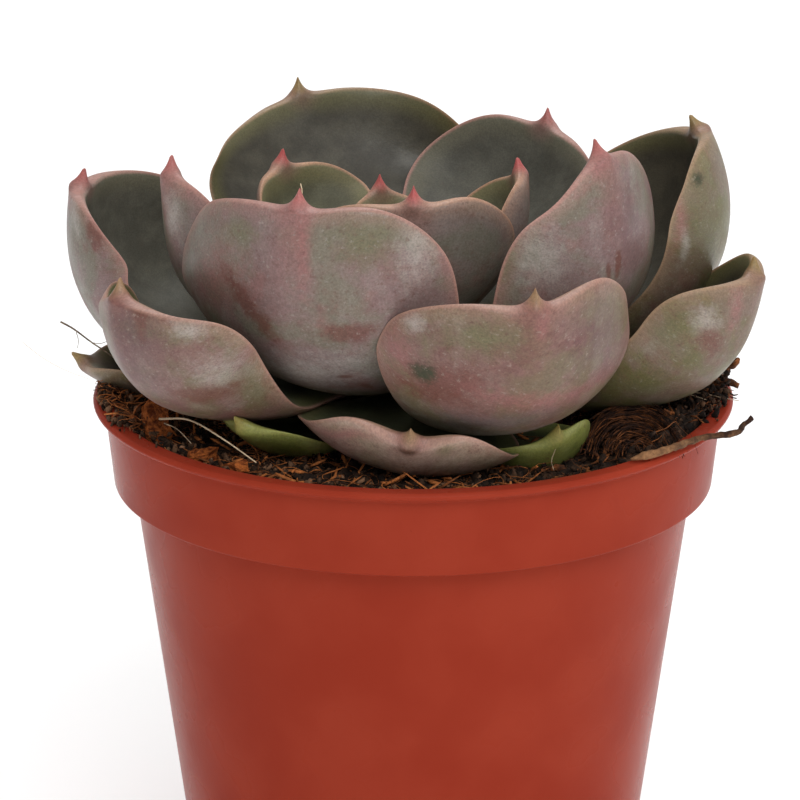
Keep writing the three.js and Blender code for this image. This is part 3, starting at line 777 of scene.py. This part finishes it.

# Colours of a skin. Outside, back and mottle are its two tones, bloom the wax, rust the freckles, and blush
# the clouds and the tint round the point. Inside, face is at the end, deep at the root, and verge beside the
# margin. Face and deep are the face's own dark grey-green with painted shade in them, and deep at the root
# is painted shade down in the rosette. The margin and the sharp point have their own.
LOOKS = {
    "mauve": dict(
        back=(128, 104, 101), mottle=(117, 109, 95), bloom=(158, 150, 142), rust=(118, 82, 76),
        blush=(142, 97, 93), face=(88, 86, 76), deep=(60, 58, 50), verge=(100, 96, 78),
        margin=(168, 124, 113), point=(172, 92, 88)),
    "old": dict(
        back=(124, 94, 87), mottle=(112, 99, 76), bloom=(160, 146, 134), rust=(104, 68, 60),
        blush=(122, 78, 72), face=(80, 84, 60), deep=(54, 54, 40), verge=(104, 104, 70),
        margin=(166, 128, 113), point=(150, 124, 86)),
    "olive": dict(
        back=(116, 99, 84), mottle=(101, 95, 60), bloom=(150, 144, 128), rust=(112, 80, 68),
        blush=(124, 90, 80), face=(74, 70, 58), deep=(48, 44, 36), verge=(98, 94, 60),
        margin=(152, 124, 98), point=(142, 122, 70)),
    "young": dict(
        back=(130, 115, 109), mottle=(116, 110, 98), bloom=(138, 132, 126), rust=(108, 84, 76),
        blush=(142, 104, 96), face=(88, 86, 64), deep=(60, 58, 42), verge=(116, 110, 76),
        margin=(176, 134, 108), point=(192, 74, 80)),
    "fresh": dict(
        back=(134, 140, 72), mottle=(102, 112, 50), bloom=(160, 164, 116), rust=(112, 118, 62),
        blush=(132, 134, 70), face=(74, 80, 54), deep=(50, 56, 38), verge=(120, 126, 70),
        margin=(148, 150, 84), point=(146, 130, 70)),
}
DARK_SPECK = (96, 60, 52)

# Marks on the backs: colour, strength, and how softly they end. Their outlines are torn by a pattern. The
# bloom marks are partly the wax bloom and partly painted highlight and painted light, and the pale stain
# over leaf 6 is painted light.
TEAR = 2.2
MARK_END = 2.45
STAINS = {
    # partly the wax bloom, partly painted highlight and painted light
    "bloom": ((176, 168, 160), 0.62, 1.3),
    "blush": ((146, 96, 93), 0.7, 1.3),
    "plum": ((98, 66, 70), 0.7, 1.4),
    # painted light, over a leaf that lies in shade
    "painted_light": ((196, 176, 158), 0.6, 1.5),
    "olive": ((104, 102, 70), 0.62, 1.2),
    "grey": ((112, 106, 106), 0.55, 1.2),
    "rust": ((106, 64, 54), 0.75, 0.7),
    "bruise": ((56, 60, 40), 0.95, 0.9),
}

# Where the photograph shows such marks, for each leaf by its number: kind, place across the blade and along
# it from the root, half-length and half-width, and the way it runs.
# The bloom marks are partly painted highlight and painted light, and the pale stain on leaf 6 is painted
# light.
MARKS = {
    6: [("painted_light", 0, 20.5, 11, 5, 0), ("bruise", 0, 22, 1, 0.5, 15), ("olive", 3, 21, 1, 0.8, -25),
        ("blush", -5, 20, 4, 0.7, 35)],
    8: [("bloom", -5.5, 29.5, 1.5, 1.5, 0), ("blush", -3, 31, 3, 1, -85), ("olive", -8, 26.5, 3, 2, 80),
        ("olive", -6, 19.5, 3, 1.5, 75), ("rust", -4.5, 27.5, 1.5, 1.2, -40)],
    9: [("bloom", 8, 24.5, 4.5, 3, 85), ("plum", 2, 31, 9, 4, 82), ("rust", 3, 33, 2, 0.7, -90),
        ("bloom", 7, 32, 2, 1.2, -20), ("olive", 8.5, 22, 3, 2, 85), ("rust", 6, 24, 3.5, 1.4, -40)],
    11: [("blush", -10.5, 25, 4.5, 1.7, -80), ("rust", -6.5, 23.5, 4, 2, 40),
         ("olive", -4, 29.5, 3.5, 2.3, 20), ("plum", 6, 27.5, 4.5, 3, -55), ("bloom", 0, 17, 9, 2.5, 0),
         ("blush", 1, 23.5, 7, 1.5, -8), ("bloom", -9.5, 29, 1.6, 1, 45),
         ("blush", 0.5, 31.5, 2.2, 0.7, 90), ("grey", -2, 20.5, 6, 1.7, 15),
         ("bruise", -8, 24, 1.5, 1.1, 70)],
    12: [("rust", 10, 35, 2.3, 1.3, -70), ("bloom", 6, 35, 3, 1, -40)],
    13: [("olive", -10.5, 30.5, 8, 4, 80), ("blush", -13, 30, 7, 0.8, 85),
         ("bruise", -9.7, 34.2, 0.8, 0.6, 0), ("bloom", -12.4, 26.4, 3.5, 0.6, -82)],
    14: [("blush", -7.5, 25, 4.5, 3.5, 60), ("olive", 6, 29.5, 3.5, 2.3, -10),
         ("bloom", 10, 28.5, 3.5, 2, -85), ("blush", 1, 29.5, 5, 0.7, -85),
         ("grey", 2, 17.5, 6.5, 3.5, 15), ("rust", -3.5, 23.2, 4, 0.9, -47),
         ("bloom", 0, 17.5, 7, 2.5, 14), ("rust", 4.5, 22, 2.6, 0.9, 0), ("rust", 3, 17, 0.7, 0.3, 0),
         ("rust", 4, 15, 0.8, 0.4, -65), ("olive", -5, 29.5, 2.4, 1.3, 15)],
    16: [("bloom", -7.5, 25, 3.5, 2.8, 80), ("plum", 1.5, 26.5, 5, 3.4, 90),
         ("rust", 0, 23, 1.4, 0.4, -80), ("rust", -1, 22.5, 0.8, 0.3, -75),
         ("olive", -10.5, 24, 3.5, 0.8, 75), ("blush", -1, 31.5, 1.5, 1, 45)],
    17: [("bloom", 1, 25.5, 2.5, 1.2, 70)],
}


def midrib(leaf, order):
    """Points of the leaf's midrib in its own upright plane, and how far along it each one is."""
    start_slope, end_slope = (math.radians(angle) for angle in leaf["slope"])
    back = leaf["point"] - NOTCH
    reach, rise = leaf["tip"]
    root = np.array([ROOT_REACH - ROOT_DRAW * order, FIRST_LEAF + INTERNODE * order])
    tip = np.array([reach - back * math.cos(end_slope), POT_HEIGHT + rise - back * math.sin(end_slope)])
    span = np.linalg.norm(tip - root)
    rising = root + ROOT_PULL * span * np.array([math.cos(start_slope), math.sin(start_slope)])
    ending = tip - TIP_PULL * span * np.array([math.cos(end_slope), math.sin(end_slope)])
    t = np.linspace(0, 1, MIDRIB_STEPS)[:, None]
    line = (1 - t) ** 3 * root + 3 * (1 - t) ** 2 * t * rising + 3 * (1 - t) * t**2 * ending + t**3 * tip
    steps = np.linalg.norm(np.diff(line, axis=0), axis=1)
    return line, np.concatenate([[0], np.cumsum(steps)])


def outline(leaf, length):
    """Station and half-width of each ring, from the root to the point."""
    half, shoulder, square = leaf["width"] / 2, leaf["shoulder"], leaf["square"]
    share = np.arange(LOWER_RINGS) / LOWER_RINGS
    lower = ROOT_HALF_WIDTH + (half - ROOT_HALF_WIDTH) * np.sin(math.pi / 2 * share ** leaf["taper"])
    flare = min(FLARE, 0.7 * half)
    turn = np.linspace(0, math.acos((flare / half) ** (square / 2)), UPPER_RINGS)
    upper = half * np.cos(turn) ** (2 / square)
    finest = flare * (POINT_HALF_WIDTH / flare) ** (np.arange(1, POINT_RINGS + 1) / POINT_RINGS)
    widths = np.concatenate([upper, finest])
    ends = shoulder + (1 - shoulder) * (1 - (widths / half) ** square) ** (1 / square)
    ends += leaf["point"] / length * np.exp(-widths / POINT_FLARE)
    return np.concatenate([shoulder * share, ends]), np.concatenate([lower, widths])


def on_blade(leaf, length, ball):
    """Where each point of the ball belongs on the flat blade: its station, from 0 at the root to 1 at the
    tip, its place across, the half-width there, its bulge, from -1 on the back to 1 on the face, and how
    far from the margin it is."""
    stations, halves = outline(leaf, length)
    last = len(stations) + 1
    ring = np.rint((1 - np.arccos(np.clip(ball[:, 2], -1, 1)) / math.pi) * last).astype(int)
    inside = (ring > 0) & (ring < last)
    pick = np.clip(ring - 1, 0, last - 2)
    station = np.where(ring == last, 1 + leaf["point"] / length, np.where(ring == 0, 0, stations[pick]))
    half = np.where(inside, halves[pick], 0)
    turn = np.arctan2(ball[:, 1], ball[:, 0])
    share = np.cos(turn)
    bulge = np.maximum(0, 1 - share * share) ** EDGE * np.sign(np.round(np.sin(turn), 6)) * inside
    across = share * half
    finer = np.arange(0, len(stations) - 1, 0.25)
    rim_along = np.interp(finer, np.arange(len(stations)), stations) * length
    rim_across = np.interp(finer, np.arange(len(stations)), halves)
    gaps = np.hypot(np.abs(across)[:, None] - rim_across, (station * length)[:, None] - rim_along)
    return station, across, half, bulge, gaps.min(axis=1)


def flesh(leaf, order, length, station, across, half, bulge):
    """How far each point stands off the blade's middle, with a keel under the point and a slow swell."""
    full = THICKNESS * min(1, 0.45 + leaf["width"] / 40) * (1 - 0.45 * ease((station - 0.5) / 0.5))
    thick = (ROOT_THICKNESS + (full - ROOT_THICKNESS) * ease(station / 0.45)) / 2
    deep = np.minimum(thick, 0.7 * half + 0.1)
    lift = deep * bulge * np.where(bulge > 0, FACE_SHARE, BACK_SHARE)
    keel = KEEL * np.exp(-((across / KEEL_WIDTH) ** 2)) * ease((station - 0.55) / 0.4) * (bulge < 0)
    places = zip(across, station)
    swell = [noise.noise(Vector((x * 0.13, y * length * 0.11, 5.7 * order))) for x, y in places]
    return lift - keel * deep + SWELL * np.array(swell) * ease(station / 0.3)


def laid_out(leaf, line, walked, station, across, lift):
    """Where each point goes on the plant: notched, lobed and leant, folded along the midrib, bowed and
    rolled, and turned the way that the leaf points."""
    length = walked[-1]
    fade = ease((station - leaf["shoulder"]) / (1 - leaf["shoulder"]))
    dip = NOTCH / length * fade * np.exp(-((across / NOTCH_WIDTH) ** 2))
    skew = math.tan(math.radians(leaf["lean"])) / 2
    bump = np.sin(math.pi * np.minimum(1, np.abs(across) / (leaf["width"] / 2))) ** 2
    lobe = fade * bump * np.where(across > 0, leaf["lobes"][1], leaf["lobes"][0])
    along = station - dip + (lobe - skew * (3 * station**2 - 1) * across) / length

    kept = np.clip(along, 0, 1)
    slope = np.gradient(line, axis=0)
    slope /= np.linalg.norm(slope, axis=1)[:, None]
    out, height = (np.interp(kept * length, walked, line[:, axis]) for axis in (0, 1))
    run, climb = (np.interp(kept * length, walked, slope[:, axis]) for axis in (0, 1))
    beyond = (along - kept) * length

    begin, end = leaf["folds"]
    folded = leaf["flat"] + (1 - leaf["flat"]) * ease((along - begin) / (end - begin))
    bend = math.radians(leaf["cup"]) / (leaf["width"] / 2) * folded
    side = np.sin(bend * across) / bend - lift * np.sin(bend * across)
    up = (1 - np.cos(bend * across)) / bend + lift * np.cos(bend * across)

    to_tip = np.minimum(station, 1)
    bow = skew * length * (to_tip**3 - to_tip) + 4 * leaf["sway"] * to_tip * (1 - to_tip)
    roll = math.radians(leaf["roll"]) * ease(along / 0.7)
    sideways = side * np.cos(roll) - up * np.sin(roll) + bow
    inward = side * np.sin(roll) + up * np.cos(roll)
    out = out + run * beyond - climb * inward
    height = height + climb * beyond + run * inward
    aim = math.radians(leaf["aim"])
    x = out * math.cos(aim) - sideways * math.sin(aim)
    y = out * math.sin(aim) + sideways * math.cos(aim)
    return np.stack([x, y, height], axis=1)


def leaf_finish(name, look, number, length):
    """Skin of one leaf. It reads each point's place on the blade, and which side of it the point is on."""
    tint = {part: colour(*shade) for part, shade in LOOKS[look].items()}
    skin = Finish(name, Specular_IOR_Level=0.35, Subsurface_Weight=0.1, Subsurface_Scale=MM)
    skin.shader.inputs["Subsurface Radius"].default_value = (1.0, 0.5, 0.35)
    blade = skin.attribute("blade")
    split = skin.tree.nodes.new("ShaderNodeSeparateXYZ")
    skin.tree.links.new(blade, split.inputs[0])
    across, along, side = split.outputs
    margin = skin.attribute("edge", "Fac")
    where = skin.scaled(blade, (1, 1, 0.6), (13.7 * number, 5.1 * number, 0))
    patches = skin.noise(where, 0.13, 4.0, 0.65, 0.4)
    streaks = skin.noise(skin.scaled(where, (1.0, 0.35, 1.0)), 0.45, 4.0, 0.6)
    clouds = skin.noise(where, 0.3, 3.0, 0.6)
    ragged = skin.noise(where, 0.9, 4.0, 0.65)
    torn = skin.maths("MULTIPLY", skin.noise(where, 1.1, 5.0, 0.75), TEAR)
    specks = skin.noise(where, 2.3, 3.0, 0.7)
    grain = skin.noise(where, 6.0, 2.0, 0.6)

    back = skin.mix(skin.rise(patches, 0.42, 0.58), tint["back"], tint["mottle"])
    back = skin.mix(skin.rise(streaks, 0.5, 0.78, 0.4), back, tint["bloom"])
    back = skin.mix(skin.rise(clouds, 0.54, 0.74, 0.5), back, tint["blush"])
    near_middle = skin.fall(skin.maths("ABSOLUTE", across), 0.3, 2.4)
    toward_point = skin.rise(along, 0.7 * length, 0.97 * length, 0.6)
    back = skin.mix(skin.maths("MULTIPLY", near_middle, toward_point), back, tint["blush"])
    freckled = skin.maths("MULTIPLY", skin.rise(ragged, 0.42, 0.68), skin.rise(clouds, 0.38, 0.6, 0.5))
    back = skin.mix(freckled, back, tint["rust"])
    back = skin.mix(skin.fall(margin, 0.2, 1.8, 0.35), back, tint["margin"])
    flat = skin.scaled(blade, (1, 1, 0))
    for kind, x, y, long, wide, turn in MARKS.get(number, []):
        shade, strength, softness = STAINS[kind]
        ellipse = {"Vector": flat, "Location": (x, y, 0), "Scale": (long, wide, 1)}
        ellipse["Rotation"] = (0, 0, math.radians(turn))
        inside = skin.add("Mapping", ellipse, vector_type="TEXTURE")
        reach = skin.maths("ADD", skin.add("VectorMath", {0: inside}, 1, operation="LENGTH"), torn)
        back = skin.mix(skin.fall(reach, TEAR - softness, MARK_END, strength), back, colour(*shade))
    back = skin.mix(skin.rise(specks, 0.58, 0.7, 0.38), back, tint["bloom"])
    back = skin.mix(skin.fall(specks, 0.32, 0.43, 0.4), back, colour(*DARK_SPECK))

    face = skin.mix(skin.rise(clouds, 0.35, 0.65, 0.6), tint["face"], tint["deep"])
    # Painted shade: the face darkens towards the root, deep in the rosette where the leaves overlap.
    face = skin.mix(skin.fall(along, 0.2 * length, 0.8 * length, 0.7), face, tint["deep"])
    face = skin.mix(skin.fall(margin, 0.4, 2.6, 0.75), face, tint["verge"])
    tone = skin.mix(skin.rise(side, -0.05, 0.15), back, face)
    tone = skin.mix(skin.fall(margin, 0.06, 0.38, 0.75), tone, tint["margin"])
    from_point = skin.add("VectorMath", {0: flat, 1: (0, length + 1.8, 0)}, 1, operation="DISTANCE")
    tone = skin.mix(skin.fall(from_point, 1.0, 3.4, 0.6), tone, tint["blush"])
    tone = skin.mix(skin.fall(from_point, 0.3, 1.7, 0.7), tone, tint["point"])
    mealy = skin.mix(skin.rise(grain, 0.3, 0.7), (0.84, 0.84, 0.84, 1), (1.14, 1.14, 1.14, 1))
    skin.join("Base Color", skin.mix(1.0, tone, mealy, "MULTIPLY"))
    skin.join("Roughness", skin.maths("ADD", skin.rise(clouds, 0.3, 0.7, 0.14), 0.36))
    skin.bump(skin.maths("ADD", ragged, skin.maths("MULTIPLY", specks, 0.3)), 0.08, 0.4)
    return skin.material


rings_in_all = LOWER_RINGS + UPPER_RINGS + POINT_RINGS + 1
bpy.ops.object.select_all(action="DESELECT")
bpy.ops.mesh.primitive_uv_sphere_add(segments=AROUND, ring_count=rings_in_all, radius=1)
ball = bpy.context.object
ball_points = np.array([point.co for point in ball.data.vertices])


def grow_leaf(name, leaf, order):
    """A new leaf: a copy of the ball, laid out along its midrib and smoothed. Its length comes with it."""
    line, walked = midrib(leaf, order)
    length = walked[-1]
    station, across, half, bulge, edge = on_blade(leaf, length, ball_points)
    lift = flesh(leaf, order, length, station, across, half, bulge)
    places = laid_out(leaf, line, walked, station, across, lift)
    mesh = ball.data.copy()
    mesh.vertices.foreach_set("co", (places * MM).astype(np.float32).ravel())
    note(mesh, "blade", np.stack([across, station * length, bulge], axis=1), "FLOAT_VECTOR")
    note(mesh, "edge", edge)
    piece = shown(name, mesh)
    modify(piece, "SUBSURF", levels=1, render_levels=1)
    piece.data.shade_smooth()
    return piece, length


for order, own in enumerate(LEAVES):
    leaf = TYPICAL | own
    name = f"blade_{order + 1:02d}"
    piece, length = grow_leaf(name, leaf, order)
    settle(piece, leaf_finish(name, leaf["look"], order + 1, length), f"leaf_{order + 1:02d}",
           slot="green_leaf" if order < LOWEST_LEAVES else "leaf")

# The youngest leaves are still closed round the tip of the stem.
BUD_LEAVES = 6
BUD_REACH = (6, 1)  # of the outermost one's tip, and of the innermost one's
BUD_HEIGHT = (14.5, 10)
BUD_WIDTH = (7.5, 3.6)
FIRST_AIM = 10
SPIRAL = 137.5
for k in range(BUD_LEAVES):
    share = k / (BUD_LEAVES - 1)
    reach, height, width = (a + (b - a) * share for a, b in (BUD_REACH, BUD_HEIGHT, BUD_WIDTH))
    leaf = TYPICAL | dict(aim=FIRST_AIM + SPIRAL * k, tip=(reach, height), slope=(74, 100), width=width)
    piece, length = grow_leaf(f"bud_leaf_{k + 1}", leaf, len(LEAVES) + k)
    settle(piece, leaf_finish(piece.name, "young", 40 + k, length), slot="green_leaf")
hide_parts("central_bud")
bpy.data.objects.remove(ball)

# -------- studio
# A white paper table in a white room that is dimmer on the left, with soft square lights in front, at both
# sides and overhead. The camera stands as in the photograph: it has a long lens, 40 cm from the lip and 18
# degrees above it, and is moved a little to the left and down.
TABLE_SIZE = 12000
ROOM_LEFT = 0.33
ROOM_RIGHT = 0.76
LIT_HEIGHT = 55
ELEVATION = 18.08
DISTANCE = 400
LENS = 209.1
SENSOR = 36
PAN_RIGHT = -1.13
PAN_UP = -0.9


def soft_light(name, azimuth, elevation, distance, size, power):
    """A square light that faces the plant. Its distance and size are in metres, its power in watts."""
    right, up = math.radians(azimuth), math.radians(elevation)
    away = Vector((math.sin(right) * math.cos(up), -math.cos(right) * math.cos(up), math.sin(up)))
    spot = Vector((0, 0, LIT_HEIGHT * MM)) + away * distance
    turn = away.to_track_quat("Z", "Y").to_euler()
    bpy.ops.object.light_add(type="AREA", location=spot, rotation=turn)
    light = bpy.context.object
    light.name = name
    light.data.size = size
    light.data.energy = power


soft_light("front_softbox", 10, 44, 0.9, 0.4, 3.2)
soft_light("left_softbox", -72, 34, 0.9, 0.5, 0.2)
soft_light("right_softbox", 62, 30, 0.9, 0.5, 0.9)
soft_light("top_softbox", 176, 66, 1.0, 0.7, 5.2)

bpy.ops.mesh.primitive_plane_add(size=TABLE_SIZE * MM)
table = bpy.context.object
table.name = "table"
paper = Finish("white_paper", Roughness=0.9)
weave = paper.noise(paper.place(), 0.4, 2.0)
paper.join("Base Color", paper.mix(weave, (0.98, 0.98, 0.98, 1), (0.99, 0.99, 0.99, 1)))
table.data.materials.append(paper.material)

world = bpy.data.worlds.new("room")
bpy.context.scene.world = world
world.use_nodes = True
room = world.node_tree
walls = room.nodes["Background"]
walls.inputs["Color"].default_value = (1, 1, 1, 1)
way = room.nodes.new("ShaderNodeTexCoord")
sideways = room.nodes.new("ShaderNodeSeparateXYZ")
brighter = room.nodes.new("ShaderNodeMapRange")
for socket, value in {"From Min": -1.0, "From Max": 1.0, "To Min": ROOM_LEFT, "To Max": ROOM_RIGHT}.items():
    brighter.inputs[socket].default_value = value
room.links.new(way.outputs["Generated"], sideways.inputs[0])
room.links.new(sideways.outputs["X"], brighter.inputs["Value"])
room.links.new(brighter.outputs[0], walls.inputs["Strength"])
bpy.context.scene.view_settings.view_transform = "Standard"

pitch = math.radians(ELEVATION)
lip = Vector((0, 0, POT_HEIGHT))
back = Vector((0, -math.cos(pitch), math.sin(pitch)))
right = Vector((1, 0, 0))
up = Vector((0, math.sin(pitch), math.cos(pitch)))
spot = lip + DISTANCE * back + PAN_RIGHT * right + PAN_UP * up
bpy.ops.object.camera_add(location=spot * MM, rotation=(math.pi / 2 - pitch, 0, 0))
camera = bpy.context.object
camera.data.lens = LENS
camera.data.sensor_width = SENSOR
bpy.context.scene.camera = camera
